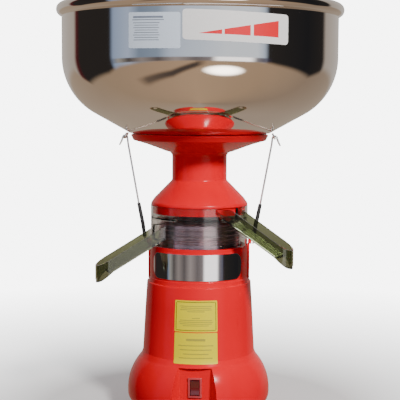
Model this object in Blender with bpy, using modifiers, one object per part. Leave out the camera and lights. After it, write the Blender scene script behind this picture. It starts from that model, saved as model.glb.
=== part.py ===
"""Electric cream separator: a motor base, a spinning disc drum, two clear receivers with spouts,
a float chamber stand and a stainless milk bowl.

Frame: origin on the table under the drum's axis, +Z up, the switch faces -Y. Lengths below are in
millimetres and become metres through MM.
"""
import math

import bmesh
import bpy
from mathutils import Matrix, Vector

MM = 0.001
GAP = 0.3  # clearance between touching pieces

# --- driving dimensions, mm ---------------------------------------------------------------
FOOT_H = 8.0
HOUSING_TOP = 215.0
HOUSING_WALL = 2.6
COLLAR_R = 63.2  # housing beside the drum
DECK_Z = 170.0  # floor of the drum well
RING_R = 62.0  # clear receivers
RING_WALL = 2.2
SKIM_TOP = 248.7
CREAM_TOP = 265.3
NECK_R = 34.9
NECK_WALL = 2.5
FLANGE_R = 87.5
FLANGE_TOP = 355.9
BOWL_R = 173.7
BOWL_WALL = 1.2
DRUM_R = 53.0
SKIM_SLOPE, CREAM_SLOPE = 0.56, 0.62  # drop of a spout per unit of length
SKIM_TURN, CREAM_TURN = math.radians(23.1), math.radians(22.5)  # spouts lean towards the front
SPOUT_W = 30.0
SPOUT_WALL = 2.0
LIP_DROP = 4.0  # the drip lip round a spout's outlet, below its floor
PANEL_Y = -71.5  # flat switch panel
SWITCH_Z = 45.0
LATCH_PIVOT = (95.5, 350.5)  # x, z of the eyelet bar
WIRE_D = 2.5
DISC_COUNT = 8

SEG_LARGE = 32
SEG_MID = 20
SEG_SMALL = 16
SEG_TINY = 12


# --- scene and materials -------------------------------------------------------------------
def clear_scene():
    for obj in list(bpy.data.objects):
        bpy.data.objects.remove(obj)


def collection(name, hidden=False):
    group = bpy.data.collections.new(name)
    bpy.context.scene.collection.children.link(group)
    group.hide_render = hidden
    return group


def material(name, color, roughness, metallic=0.0, alpha=1.0):
    made = bpy.data.materials.new(name)
    made.use_nodes = True
    shader = made.node_tree.nodes["Principled BSDF"]
    shader.inputs["Base Color"].default_value = (*color, 1.0)
    shader.inputs["Roughness"].default_value = roughness
    shader.inputs["Metallic"].default_value = metallic
    shader.inputs["Alpha"].default_value = alpha
    return made


clear_scene()
PARTS = collection("cream_separator")
CUTTERS = collection("cutters", hidden=True)

RED = material("red_plastic", (0.78, 0.01, 0.02), 0.25)
STEEL = material("stainless_steel", (0.62, 0.60, 0.57), 0.12, 1.0)
ALUMINIUM = material("aluminium", (0.70, 0.69, 0.70), 0.30, 1.0)
CLEAR = material("clear_plastic", (0.85, 0.87, 0.82), 0.08, 0.0, 0.35)
RUBBER = material("black_rubber", (0.03, 0.03, 0.03), 0.80)
BLACK = material("black_plastic", (0.05, 0.05, 0.05), 0.45)
DARK_RED = material("dark_red_plastic", (0.25, 0.02, 0.02), 0.30)
WHITE = material("white_plastic", (0.85, 0.85, 0.82), 0.40)
COPPER = material("copper_winding", (0.55, 0.22, 0.08), 0.40, 1.0)
IRON = material("laminated_iron", (0.30, 0.30, 0.31), 0.50, 1.0)
CARBON = material("carbon", (0.04, 0.04, 0.04), 0.70)


# --- shape helpers -------------------------------------------------------------------------
def arc(cx, cz, radius, start, end, steps):
    """Points on a circle, angles in degrees, both ends included."""
    angles = [math.radians(start + (end - start) * i / steps) for i in range(steps + 1)]
    return [(cx + radius * math.cos(a), cz + radius * math.sin(a)) for a in angles]


def object_from(bm, name, mat, group=None):
    """A new object from bm, its faces pointing out."""
    bmesh.ops.remove_doubles(bm, verts=bm.verts, dist=1e-6)
    bmesh.ops.recalc_face_normals(bm, faces=bm.faces)
    mesh = bpy.data.meshes.new(name)
    bm.to_mesh(mesh)
    bm.free()
    mesh.materials.append(mat)
    mesh.shade_smooth()
    mesh.set_sharp_from_angle(angle=math.radians(35))
    obj = bpy.data.objects.new(name, mesh)
    (group or PARTS).objects.link(obj)
    return obj


def applied(obj, name=None, mat=None, group=None):
    """A plain mesh object in place of obj, with its modifiers or curve settings applied."""
    bpy.context.view_layer.update()
    graph = bpy.context.evaluated_depsgraph_get()
    mesh = bpy.data.meshes.new_from_object(obj.evaluated_get(graph))
    bm = bmesh.new()
    bm.from_mesh(mesh)
    bm.transform(obj.matrix_world)
    made_name = name or obj.name
    made_mat = mat or obj.active_material
    bpy.data.objects.remove(obj)
    bpy.data.meshes.remove(mesh)
    return object_from(bm, made_name, made_mat, group)


def turned(name, profile, mat, segments=SEG_MID, group=None, closed=True):
    """A turned piece: (radius, z) points in mm, swept round Z with a Screw modifier.
    An open profile starts and ends on the axis."""
    mesh = bpy.data.meshes.new(name)
    points = [(r * MM, 0, z * MM) for r, z in profile]
    edges = [(i, i + 1) for i in range(len(points) - 1)]
    if closed:
        edges.append((len(points) - 1, 0))
    mesh.from_pydata(points, edges, [])
    mesh.materials.append(mat)
    obj = bpy.data.objects.new(name, mesh)
    (group or PARTS).objects.link(obj)
    screw = obj.modifiers.new("turn", "SCREW")
    screw.angle = math.tau
    screw.steps = segments
    screw.render_steps = segments
    screw.use_merge_vertices = True
    screw.merge_threshold = 1e-6
    return applied(obj, name, mat, group)


def tube(name, r_out, r_in, z0, z1, mat, segments=SEG_SMALL, group=None):
    profile = [(r_in, z0), (r_out, z0), (r_out, z1), (r_in, z1)]
    return turned(name, profile, mat, segments, group)


def rod(name, radius, z0, z1, mat, segments=SEG_SMALL, group=None, at=(0, 0)):
    """An upright cylinder."""
    bm = bmesh.new()
    bmesh.ops.create_cone(
        bm, cap_ends=True, segments=segments, radius1=radius * MM, radius2=radius * MM,
        depth=(z1 - z0) * MM,
    )
    bm.transform(Matrix.Translation(Vector((at[0], at[1], (z0 + z1) / 2)) * MM))
    return object_from(bm, name, mat, group)


def box(name, low, high, mat, group=None):
    bm = bmesh.new()
    bmesh.ops.create_cube(bm, size=1.0)
    size = [(high[i] - low[i]) * MM for i in range(3)]
    centre = Vector([(high[i] + low[i]) / 2 for i in range(3)]) * MM
    bm.transform(Matrix.Translation(centre) @ Matrix.Diagonal((*size, 1.0)))
    return object_from(bm, name, mat, group)


def plate(name, outline, z0, z1, mat, group=None):
    """A flat outline in X and Y, mm, as a filled 2D curve extruded from z0 to z1."""
    curve = bpy.data.curves.new(name, "CURVE")
    curve.dimensions = "2D"
    curve.fill_mode = "BOTH"
    curve.extrude = (z1 - z0) / 2 * MM
    spline = curve.splines.new("POLY")
    spline.points.add(len(outline) - 1)
    for point, (x, y) in zip(spline.points, outline):
        point.co = (x * MM, y * MM, 0, 1)
    spline.use_cyclic_u = True
    curve.materials.append(mat)
    obj = bpy.data.objects.new(name, curve)
    (group or PARTS).objects.link(obj)
    obj.location.z = (z0 + z1) / 2 * MM
    return applied(obj, name, mat, group)


def wire(name, points, diameter, mat, resolution=1, group=None):
    """A bent wire through the points, mm."""
    curve = bpy.data.curves.new(name, "CURVE")
    curve.dimensions = "3D"
    curve.bevel_depth = diameter / 2 * MM
    curve.bevel_resolution = resolution
    curve.use_fill_caps = True
    spline = curve.splines.new("POLY")
    spline.points.add(len(points) - 1)
    for point, co in zip(spline.points, points):
        point.co = (*(c * MM for c in co), 1)
    curve.materials.append(mat)
    obj = bpy.data.objects.new(name, curve)
    (group or PARTS).objects.link(obj)
    return applied(obj, name, mat, group)


def combine(obj, others, operation):
    """obj joined with, cut by or limited to each of the others, which are used up."""
    for other in others:
        step = obj.modifiers.new(operation.lower(), "BOOLEAN")
        step.operation = operation
        step.object = other
        step.solver = "EXACT"
        obj = applied(obj)
        bpy.data.objects.remove(other)
    return obj


def join(obj, *others):
    return combine(obj, others, "UNION")


def cut(obj, *others):
    return combine(obj, others, "DIFFERENCE")


def keep_inside(obj, *others):
    return combine(obj, others, "INTERSECT")


def moved(obj, matrix):
    obj.data.transform(matrix)
    return obj


def about_z(angle):
    return Matrix.Rotation(angle, 4, "Z")


def sector(name, r_in, r_out, half_angle, centre_angle, z0, z1, mat, group=None, steps=8):
    """A piece of a ring, angles in degrees."""
    start, end = centre_angle - half_angle, centre_angle + half_angle
    outline = arc(0, 0, r_out, start, end, steps) + arc(0, 0, r_in, end, start, steps)
    return plate(name, outline, z0, z1, mat, group)


# --- profiles ------------------------------------------------------------------------------
FLARE_ARC = (25.5, 28.0, 65.8)  # centre r, centre z and radius of the flared skirt
FOOT_ARC = (75.3, 24.0, 16.0)  # the rounded lower edge


def housing_outside():
    """Outer line of the motor housing, top to bottom."""
    line = [(62.4, HOUSING_TOP), (COLLAR_R, HOUSING_TOP - 1), (COLLAR_R, 175)]
    line += [(66.6, 167), (68.6, 138), (71.9, 76), (73.5, 73)]
    line += arc(*FLARE_ARC, 41, 0, 5)
    line += arc(*FOOT_ARC, 0, -90, 4)
    return line


def housing_inside():
    """Inner line, from the bottom edge up to the drum well's rim."""
    well_r = COLLAR_R - HOUSING_WALL
    line = [(73.0, FOOT_H), (73.0, 11.0)]
    line += arc(FOOT_ARC[0], FOOT_ARC[1], FOOT_ARC[2] - HOUSING_WALL, -90, 0, 3)
    line += arc(FLARE_ARC[0], FLARE_ARC[1], FLARE_ARC[2] - HOUSING_WALL, 0, 39, 3)
    line += [(69.2, 76), (66.0, 138), (64.0, 165), (well_r, DECK_Z), (16, DECK_Z)]
    line += [(16, DECK_Z + 3), (well_r, DECK_Z + 3), (well_r, HOUSING_TOP)]
    return line


def bowl_line(inset):
    """The bowl's wall line from the outlet hole up to the rim, moved inwards by inset."""
    corner = (BOWL_R - 80.0, 451.2, 80.0)  # centre r, centre z and radius of the bowl's turned corner
    turn = 61.0
    slope = math.tan(math.radians(90 - turn))
    radius = corner[2] - inset
    start = arc(corner[0], corner[1], radius, -turn, -turn, 1)[0]
    knee_r = 89.0
    knee = (knee_r, start[1] - slope * (start[0] - knee_r))
    centre = (12.6, knee[1] - 9.5)
    return [centre, knee] + arc(corner[0], corner[1], radius, -turn, 0, 6)


def bowl_profile():
    rim = (172.4, 510.0, 8.0)  # centre r, centre z and radius of the rolled rim
    outside = bowl_line(0) + [(BOWL_R, 501.0)] + arc(*rim, -60, 180, 8)
    inside = [(BOWL_R - BOWL_WALL, 501.0)] + bowl_line(BOWL_WALL)[::-1]
    return outside + inside


def stand_profile():
    """Flange, neck and cone of the float chamber stand, once round its closed section."""
    outside = [(FLANGE_R - 2, FLANGE_TOP), (FLANGE_R, FLANGE_TOP - 1.5), (84.2, 347.9)]
    outside += [(67.1, 343.0), (41.5, 333.6)] + arc(41.0, 327.4, 6.1, 110, 180, 3)
    outside += [(NECK_R, 299.6), (37.6, 296.6), (58.4, 273.4), (60.6, 270.6), (61.8, 266.0)]
    outside += [(61.8, CREAM_TOP + GAP), (59.4, CREAM_TOP + GAP), (59.4, 255.5)]
    inside = [(57.2, 255.5), (57.2, 268.6), (34.4, 294.4), (NECK_R - NECK_WALL, 298.0)]
    inside += [(NECK_R - NECK_WALL, 330.0), (36.0, 330.0), (36.0, 334.2), (82.4, 351.2)]
    inside += [(FLANGE_R - 4.5, FLANGE_TOP)]
    return outside + inside


# --- motor base ----------------------------------------------------------------------------
RECESS_HALF_IN = 19.2
RECESS_HALF_OUT = 34.0
RECESS_TOP = 70.0
PANEL_THICK = 2.6
SWITCH_HOLE = (7.2, 11.2)  # half width and half height


def side_pad(side):
    """Raised rib on the collar's side with the ledge that a latch presses on."""
    pad = box("pad", (60.9, -8, 171), (64.8, 8, HOUSING_TOP - 0.4), RED, CUTTERS)
    tab = box("tab", (RING_R + 0.6, -7, 213), (64.8, 7, 222), RED, CUTTERS)
    ledge = box("ledge", (RING_R + 0.8, -5, 216), (67.2, 5, 221.4), RED, CUTTERS)
    pad = join(pad, tab, ledge)
    return moved(pad, Matrix.Identity(4) if side > 0 else about_z(math.pi))


def motor_housing():
    shell = turned("motor_housing", housing_outside() + housing_inside(), RED, SEG_LARGE)
    outline = [(0, HOUSING_TOP)] + housing_outside() + [(0, FOOT_H)]
    outer = turned("outer", outline, RED, SEG_LARGE, CUTTERS, closed=False)
    back = PANEL_Y + PANEL_THICK
    half = RECESS_HALF_OUT + HOUSING_WALL
    block = box("block", (-half, -95, 5), (half, back, RECESS_TOP + 2), RED, CUTTERS)
    block = keep_inside(block, outer)
    shell = join(shell, block, side_pad(1), side_pad(-1))
    front = -99
    outline = [(-RECESS_HALF_OUT, front), (RECESS_HALF_OUT, front)]
    outline += [(RECESS_HALF_IN, PANEL_Y), (-RECESS_HALF_IN, PANEL_Y)]
    recess = plate("recess", outline, 0, RECESS_TOP, RED, CUTTERS)
    half_w, half_h = SWITCH_HOLE
    hole = box(
        "hole", (-half_w, -80, SWITCH_Z - half_h), (half_w, -60, SWITCH_Z + half_h), RED, CUTTERS
    )
    gland_hole = rod("gland_hole", 4.6, -15, 15, RED, SEG_TINY, CUTTERS)
    moved(gland_hole, Matrix.Translation((0, 88 * MM, 30 * MM)) @ Matrix.Rotation(math.pi / 2, 4, "X"))
    return cut(shell, recess, hole, gland_hole)


def base_plate():
    disc = rod("base_plate", 72.6, FOOT_H, FOOT_H + 2.5, BLACK, SEG_LARGE)
    slots = []
    for i in range(8):
        slot = box("slot", (18, -2, 0), (40, 2, 20), BLACK, CUTTERS)
        slots.append(moved(slot, about_z(math.tau * i / 8)))
    front = box("front", (-60, -80, 0), (60, PANEL_Y + PANEL_THICK + GAP, 20), BLACK, CUTTERS)
    return cut(disc, front, *slots)


def feet():
    for i in range(4):
        angle = math.radians(45 + 90 * i)
        profile = [(0, 0), (8.0, 0), (9.5, 2.0), (10.5, FOOT_H - GAP), (0, FOOT_H - GAP)]
        foot = turned(f"foot_{i + 1}", profile, RUBBER, SEG_TINY, closed=False)
        spot = Vector((58 * math.cos(angle), 58 * math.sin(angle), 0)) * MM
        moved(foot, Matrix.Translation(spot))


def switch():
    """Snap-in rocker switch: its frame and body, and the rocker on a crosswise pivot."""
    low = (-8.7, PANEL_Y - 2.0, SWITCH_Z - 12.7)
    high = (8.7, PANEL_Y - GAP, SWITCH_Z + 12.7)
    frame = box("switch_frame", low, high, DARK_RED)
    half_w, half_h = SWITCH_HOLE[0] - GAP, SWITCH_HOLE[1] - GAP
    body = box(
        "body", (-half_w, PANEL_Y - 1.0, SWITCH_Z - half_h), (half_w, PANEL_Y + 14, SWITCH_Z + half_h),
        BLACK, CUTTERS,
    )
    low, high = (-6.0, PANEL_Y - 9, SWITCH_Z - 10.2), (6.0, PANEL_Y + 6.5, SWITCH_Z + 10.2)
    pocket = box("pocket", low, high, BLACK, CUTTERS)
    cut(join(frame, body), pocket)
    # The rocker's side view: a shallow V in front and a round back, about its own pivot.
    side = [(-4.6, 9.0), (-1.4, 0.4), (-2.2, -9.0), (1.0, -8.4), (4.4, 0.0), (0.8, 8.4)]
    rocker = plate("switch_rocker", [(-z, y) for y, z in side], -5.6, 5.6, DARK_RED)
    turn = Matrix.Rotation(math.pi / 2, 4, "Y")
    moved(rocker, Matrix.Translation((0, (PANEL_Y + 1.0) * MM, SWITCH_Z * MM)) @ turn)


def cable_gland():
    profile = [(2.6, 0), (4.2, 0), (4.2, 6.0), (8.0, 6.0), (8.0, 9.0), (5.5, 14.0), (2.6, 14.0)]
    gland = turned("cable_gland", profile, BLACK, SEG_TINY)
    turn = Matrix.Rotation(-math.pi / 2, 4, "X")
    moved(gland, Matrix.Translation((0, 85.6 * MM, 30 * MM)) @ turn)


def badge_plate():
    """Bright plate with round corners, wrapped round the housing's collar."""
    corner, half_h, centre_z = 12.0, 16.3, 192.6
    r_in = COLLAR_R + GAP
    half_w = math.radians(59) * r_in
    outline = []
    for cx, cz, start in ((1, 1, 0), (-1, 1, 90), (-1, -1, 180), (1, -1, 270)):
        outline += arc(cx * (half_w - corner), cz * (half_h - corner), corner, start, start + 90, 3)
    bm = bmesh.new()
    flat = plate("flat", outline, 0, 0.6, STEEL, CUTTERS)
    bm.from_mesh(flat.data)
    bpy.data.objects.remove(flat)
    for i in range(-8, 9):  # cuts across, so that the plate can wrap
        x = i / 8.5 * half_w * MM
        geom = bm.verts[:] + bm.edges[:] + bm.faces[:]
        bmesh.ops.bisect_plane(bm, geom=geom, plane_co=(x, 0, 0), plane_no=(1, 0, 0))
    for v in bm.verts:
        angle = v.co.x / (r_in * MM) - math.pi / 2
        radius = r_in * MM + v.co.z
        v.co = Vector((radius * math.cos(angle), radius * math.sin(angle), v.co.y + centre_z * MM))
    object_from(bm, "badge_plate", STEEL)


# --- motor ---------------------------------------------------------------------------------
CORE_Z = (88.0, 118.0)
PILLAR_R = 42.0


def motor_brackets():
    upper = turned(
        "motor_upper_bracket",
        [(11.3, 142), (45, 142), (45, 146), (15, 146), (15, 152), (7, 152), (7, 150.3), (11.3, 150.3)],
        ALUMINIUM, SEG_MID,
    )
    lower = turned(
        "motor_lower_bracket",
        [(6, 42), (14, 42), (14, 54), (45, 54), (45, 58), (10, 58), (10, 45), (6, 45)],
        ALUMINIUM, SEG_MID,
    )
    pillars = []
    for i in range(4):
        angle = math.radians(45 + 90 * i)
        spot = (PILLAR_R * math.cos(angle), PILLAR_R * math.sin(angle))
        pillars.append(rod("pillar", 2.8, 56, 142 - GAP, ALUMINIUM, 8, CUTTERS, spot))
    return upper, join(lower, *pillars)


def stator():
    core = tube("stator_core", 38, 30.5, *CORE_Z, IRON, SEG_MID)
    poles = [sector("pole", 21, 32, 38, a, *CORE_Z, IRON, CUTTERS) for a in (-90, 90)]
    join(core, *poles)
    for name, angle in (("field_coil_front", -90), ("field_coil_rear", 90)):
        coil = sector(name, 23.5, 29.8, 58, angle, CORE_Z[0] - 7, CORE_Z[1] + 7, COPPER)
        window = sector(
            "window", 20, 34, 38.8, angle, CORE_Z[0] - GAP, CORE_Z[1] + GAP, COPPER, CUTTERS
        )
        cut(coil, window)


def armature():
    teeth, r_out, r_slot = 12, 20.2, 14.0
    outline = []
    for i in range(teeth):
        for offset, radius in ((-10.5, r_out), (0, r_out), (10.5, r_out), (12, r_slot), (18, r_slot)):
            angle = math.radians(360 / teeth * i + offset)
            outline.append((radius * math.cos(angle), radius * math.sin(angle)))
    core = plate("armature_core", outline, *CORE_Z, IRON)
    bore = rod("bore", 5.0 + GAP, 80, 125, IRON, SEG_TINY, CUTTERS)
    cut(core, bore)
    bore_r = 5.0 + GAP
    for name, near, far in (("upper", 118.3, 126.0), ("lower", 87.7, 80.3)):
        step = (far - near) / 8
        section = [(bore_r, near), (17.6, near), (19.0, near + 3 * step), (16.0, near + 7 * step)]
        section += [(9.0, far), (bore_r, far)]
        turned(f"armature_winding_{name}", section, COPPER, SEG_SMALL)
    tube("commutator", 10.5, bore_r, 66, 80, COPPER, SEG_SMALL)
    for name, side in (("brush_left", -1), ("brush_right", 1)):
        ends = sorted((side * 10.9, side * 24.0))
        box(name, (ends[0], -3, 69), (ends[1], 3, 77), CARBON)


def bearings():
    tube("upper_bearing", 11.0, 5.0 + GAP, 142.2, 150.0, STEEL)
    tube("lower_bearing", 9.7, 4.0 + GAP, 45.3, 53.0, STEEL)


def shaft_seal():
    """Rubber seal that plugs the well's floor round the shaft."""
    z = DECK_Z
    section = [(5.0 + GAP, z + 0.2), (15.7, z + 0.2), (15.7, z + 3.3), (18.0, z + 3.3), (18.0, z + 4.6)]
    turned("shaft_seal", section + [(5.0 + GAP, z + 4.6)], RUBBER, SEG_SMALL)


def rotor_shaft():
    profile = [(0, 40), (4, 40), (4, 55), (5, 55), (5, 176), (8.4, 176)]
    profile += [(8.4, 179), (6.1, 194.5), (0, 195)]
    turned("rotor_shaft", profile, STEEL, SEG_SMALL, closed=False)


def cooling_fan():
    hub = tube("cooling_fan", 9.0, 5.0 + GAP, 127.5, 138.5, BLACK, SEG_SMALL)
    disc = tube("disc", 34, 8.0, 127.5, 129.3, BLACK, SEG_SMALL, CUTTERS)
    blades = []
    for i in range(8):
        blade = box("blade", (8.0, -0.9, 128.5), (33.2, 0.9, 138.5), BLACK, CUTTERS)
        blades.append(moved(blade, about_z(math.tau * i / 8)))
    join(hub, disc, *blades)


def rubber_mounts():
    for i in range(3):
        angle = math.radians(90 + 120 * i)
        profile = [(0, 146 + GAP), (7, 146 + GAP), (5.2, 158), (7, DECK_Z - GAP), (0, DECK_Z - GAP)]
        mount = turned(f"rubber_mount_{i + 1}", profile, RUBBER, SEG_TINY, closed=False)
        moved(mount, Matrix.Translation(Vector((36 * math.cos(angle), 36 * math.sin(angle), 0)) * MM))


# --- drum ----------------------------------------------------------------------------------
DRUM_SEAM = 226.0
COVER_TOP = 246.0
NECK_TOP = 266.0


def drum():
    base = [
        (0, 196.5), (6.4, 195.6), (8.6 + GAP, 179.2), (14, 179.2), (20, 181), (DRUM_R - 5, 183),
        (DRUM_R, 188), (DRUM_R, DRUM_SEAM - GAP), (DRUM_R - 2.2, DRUM_SEAM - GAP),
        (DRUM_R - 2.2, DRUM_SEAM - 3), (DRUM_R - 4, DRUM_SEAM - 3), (DRUM_R - 4, 190),
        (DRUM_R - 8, 186.6), (14, 186.6), (11, 200),
        (11, 262), (10.2, 262), (10.2, 273), (7.4, 273), (7.4, 200), (0, 200),
    ]
    turned("drum_base", base, ALUMINIUM, SEG_MID, closed=False)
    seal = [(49.4, 223.4), (50.4, 223.4), (50.4, 225.4), (49.4, 225.4)]
    turned("drum_seal", seal, RUBBER, SEG_MID)
    cover = [
        (DRUM_R, DRUM_SEAM), (DRUM_R, 229.6), (DRUM_R - 0.9, 230.4), (DRUM_R - 0.9, 236.0),
        (DRUM_R - 1.7, 236.8), (DRUM_R - 1.7, 242.0), (48.0, COVER_TOP), (31.5, COVER_TOP + 1.0),
        (29.5, COVER_TOP + 2.6), (26.0, NECK_TOP), (12.0, NECK_TOP), (12.0, NECK_TOP - 2.2),
        (22.8, NECK_TOP - 2.2), (25.4, 250.0), (25.4, 243.2), (46.8, 242.6), (48.4, 239.0),
        (48.8, DRUM_SEAM),
    ]
    turned("drum_cover", cover, ALUMINIUM, SEG_MID)
    nut = rod("drum_nut", 19.0, NECK_TOP + GAP, NECK_TOP + 7, STEEL, 6)
    cone = rod("nut_bore", 10.6, NECK_TOP - 5, NECK_TOP + 12, STEEL, SEG_SMALL, CUTTERS)
    cut(nut, cone)


def disc_stack():
    """Carrier, thin cones and the separating disc, all on the drum's centre tube."""
    rise, r_in, r_out, thick, pitch = 0.85, 16.2, 44.0, 0.7, 2.4
    carrier = [
        (11 + GAP, 200.2), (14.2, 200.0), (40, 187.2), (43, 187.2), (14.6, 213.0), (14.6, 240.0),
        (11 + GAP, 240.0),
    ]
    turned("disc_carrier", carrier, WHITE, SEG_SMALL)
    low = 190.4
    for i in range(DISC_COUNT):
        z = low + pitch * i
        top = z + rise * (r_out - r_in)
        section = [(r_out, z), (r_out, z + thick), (r_in, top + thick), (r_in, top)]
        turned(f"disc_{i + 1:02d}", section, STEEL, SEG_SMALL)
    z = low + pitch * DISC_COUNT + 0.6
    neck_r = 19.6
    top = z + rise * (46.0 - neck_r)
    section = [
        (46.0, z), (46.0, z + 1.0), (neck_r, top + 1.3), (neck_r, 258.0), (neck_r - 1.0, 258.0),
        (neck_r - 1.0, top),
    ]
    turned("separating_disc", section, STEEL, SEG_SMALL)


# --- receivers -----------------------------------------------------------------------------
def spout_outline(inset, u_start, u_tip, v_low, v_high):
    """Plan of a spout: straight sides and a half-round nose, drawn smaller by inset."""
    half = (v_high - v_low) / 2 - inset
    mid = (v_high + v_low) / 2
    nose = arc(u_tip - (v_high - v_low) / 2, mid, half, -90, 90, 8)
    return [(u_start, mid - half)] + nose + [(u_start, mid + half)]


def sheared(obj, u_ref, slope):
    """Slopes a piece that was drawn level: it drops along +X from u_ref on."""
    for v in obj.data.vertices:
        v.co.z -= slope * (v.co.x - u_ref * MM)
    return obj


def spout_solids(slope, u_ref, u_tip, v_low, floor_z, height, placed):
    """The solid body of an open spout, and the cutters of its channel and of its outlet."""
    v_high = v_low + SPOUT_W
    args = (u_tip, v_low, v_high)
    solid = plate("spout", spout_outline(0, 36, *args), floor_z, floor_z + height, CLEAR, CUTTERS)
    channel = plate(
        "channel", spout_outline(SPOUT_WALL, 34, *args), floor_z + SPOUT_WALL, floor_z + height + 3,
        CLEAR, CUTTERS,
    )
    half = SPOUT_W / 2
    lip = arc(u_tip - half, v_low + half, half - 0.6, -90, 90, 8)
    start = u_tip - half - 4
    lip = [(start, v_low + 0.6)] + lip + [(start, v_high - 0.6)]
    lip = plate("lip", lip, floor_z - LIP_DROP, floor_z + 1, CLEAR, CUTTERS)
    for v in lip.data.vertices:  # the lip grows out of the floor over 14 mm
        if v.co.z < floor_z * MM:
            v.co.z += (LIP_DROP - 0.2) * MM * max(0.0, 1 - (v.co.x / MM - start) / 14)
    solid = join(solid, lip)
    outlet = arc(u_tip - half - 1, v_low + half, half - SPOUT_WALL - 0.6, -90, 90, 8)
    outlet = plate("outlet", outlet, floor_z - 9, floor_z + 6, CLEAR, CUTTERS)
    return [moved(sheared(o, u_ref, slope), placed) for o in (solid, channel, outlet)]


def receiver(name, z0, z1, trough, spout):
    """A clear ring with a spout: the wall, then the spout, then the trough inside the wall."""
    wall = tube(name, RING_R, RING_R - RING_WALL, z0, z1, CLEAR, SEG_LARGE)
    solid, channel, outlet = spout
    above = box("above", (-150, -150, z1 - 0.5), (150, 150, z1 + 60), CLEAR, CUTTERS)
    below = rod("below", RING_R + 0.6, z0 - 60, z0, CLEAR, SEG_LARGE, CUTTERS)
    solid = cut(solid, above, below)
    reach = RING_R + 0.6 + SPOUT_WALL
    below = rod("below", reach, z0 - 60, z0 + 0.6 * SPOUT_WALL, CLEAR, SEG_LARGE, CUTTERS)
    channel = cut(channel, below)
    core = rod("core", RING_R - RING_WALL, z0 - 40, z1 + 40, CLEAR, SEG_LARGE, CUTTERS)
    wall = cut(join(wall, solid), channel, outlet, core)
    floor = turned("trough", trough, CLEAR, SEG_LARGE, CUTTERS)
    return join(wall, floor)


def receivers():
    seat = RING_R - RING_WALL + 0.9  # trough floors run a little into the wall
    skim_trough = [
        (seat, 226.2), (seat, 228.0), (57.0, 227.4), (57.0, 240.0), (55.4, 240.0), (55.4, 225.8),
    ]
    left = about_z(math.pi + SKIM_TURN)
    skim_spout = spout_solids(SKIM_SLOPE, 54.7, 140.2, -0.8, 225.6, 17.1, left)
    receiver("skim_receiver", HOUSING_TOP + GAP, SKIM_TOP, skim_trough, skim_spout)
    cream_trough = [
        (seat, 249.6), (seat, 251.4), (56.0, 251.2), (33.6, 253.4), (33.0, 259.0), (31.4, 259.0),
        (31.4, 252.0), (56.0, 249.8),
    ]
    right = about_z(-CREAM_TURN)
    cream_spout = spout_solids(CREAM_SLOPE, 44.0, 139.5, -43.5, 258.6, 18.7, right)
    receiver("cream_receiver", SKIM_TOP + GAP, CREAM_TOP, cream_trough, cream_spout)


# --- float chamber and bowl ----------------------------------------------------------------
def float_chamber():
    turned("float_stand", stand_profile(), RED, SEG_LARGE)
    cup = [
        (31.6, 292.0), (31.9, 330.0), (31.9, 330.3), (35.6, 330.3), (35.6, 332.0), (29.9, 332.0),
        (29.7, 295.0), (4.0, 293.6), (4.0, 276.0), (5.6, 276.0), (5.6, 291.0),
    ]
    cup = [(min(r, NECK_R - NECK_WALL - GAP), z) if z < 330 else (r, z) for r, z in cup]
    turned("float_cup", cup, WHITE, SEG_MID)
    float_line = [
        (0, 299), (24.0, 299), (27.0, 301.5), (27.0, 311.5), (24.0, 314.0), (9.6, 314.5),
        (6.8, 319.2), (0, 320.0),
    ]
    turned("float", float_line, WHITE, SEG_MID, closed=False)


PORT_TURN = math.radians(38)  # the tap turns this far from shut to open
PORT_TOP = 12.0  # top of the tap's side port over the bowl's floor


def port_cutter(floor_z, angle):
    """Side port of the tap, cut alike in the outlet and in the plug that turns in it."""
    port = box("port", (-3.2, 0, floor_z + 4.2), (3.2, 22, floor_z + PORT_TOP), WHITE, CUTTERS)
    return moved(port, about_z(-angle))


def milk_bowl():
    turned("milk_bowl", bowl_profile(), STEEL, SEG_LARGE)
    low = bowl_line(0)[0][1]
    high = bowl_line(BOWL_WALL)[0][1]
    outlet = [
        (9.0, 326.0), (10.8, 326.0), (10.8, low - 8.0), (12.2, low - 8.0), (12.2, high + GAP),
        (17.5, high + 0.8), (17.5, high + 2.6), (12.4, high + 3.2), (12.4, high + PORT_TOP + 2),
        (10.2, high + PORT_TOP + 2),
    ]
    outlet = turned("bowl_outlet", outlet, WHITE, SEG_SMALL)
    cut(outlet, port_cutter(high, -PORT_TURN))
    nut = rod("outlet_nut", 19.0, low - 7.6, low - 0.7, WHITE, 6)
    cut(nut, rod("nut_bore", 12.5, low - 12, low + 4, WHITE, SEG_SMALL, CUTTERS))
    return high


def tap(seat_z):
    """Plug valve: a tapered plug in the outlet, a stem and a pointer lever over the milk."""
    top = 470.0
    cap_z = seat_z + PORT_TOP + 2.6
    plug = [
        (0, cap_z + 3), (6.4, cap_z + 2), (6.4, 328.0), (8.6, 328.0), (9.4, seat_z + 2), (9.4, cap_z),
        (12.0, cap_z), (12.0, cap_z + 5.0), (5.0, cap_z + 9.0), (5.0, top), (0, top),
    ]
    plug = turned("tap_plug", plug, WHITE, SEG_SMALL, closed=False)
    cut(plug, port_cutter(seat_z, 0.0))
    hub = tube("tap_lever", 10.0, 5.0 + GAP, top - 12, top - 1, RED, SEG_SMALL)
    outline = [(-3.5, -8.5), (3.5, -8.5), (5.5, -120)] + arc(0, -134, 6.5, 0, -180, 6) + [(-5.5, -120)]
    arm = plate("arm", outline, top - 9.5, top - 4.5, RED, CUTTERS)
    lever = join(hub, arm)
    cap = rod("cap", 8.0, top - 3, top + 3, RED, SEG_SMALL, CUTTERS)
    bore = rod("bore", 5.0 + GAP, top - 20, top + GAP, RED, SEG_SMALL, CUTTERS)
    cut(join(lever, cap), bore)


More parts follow.
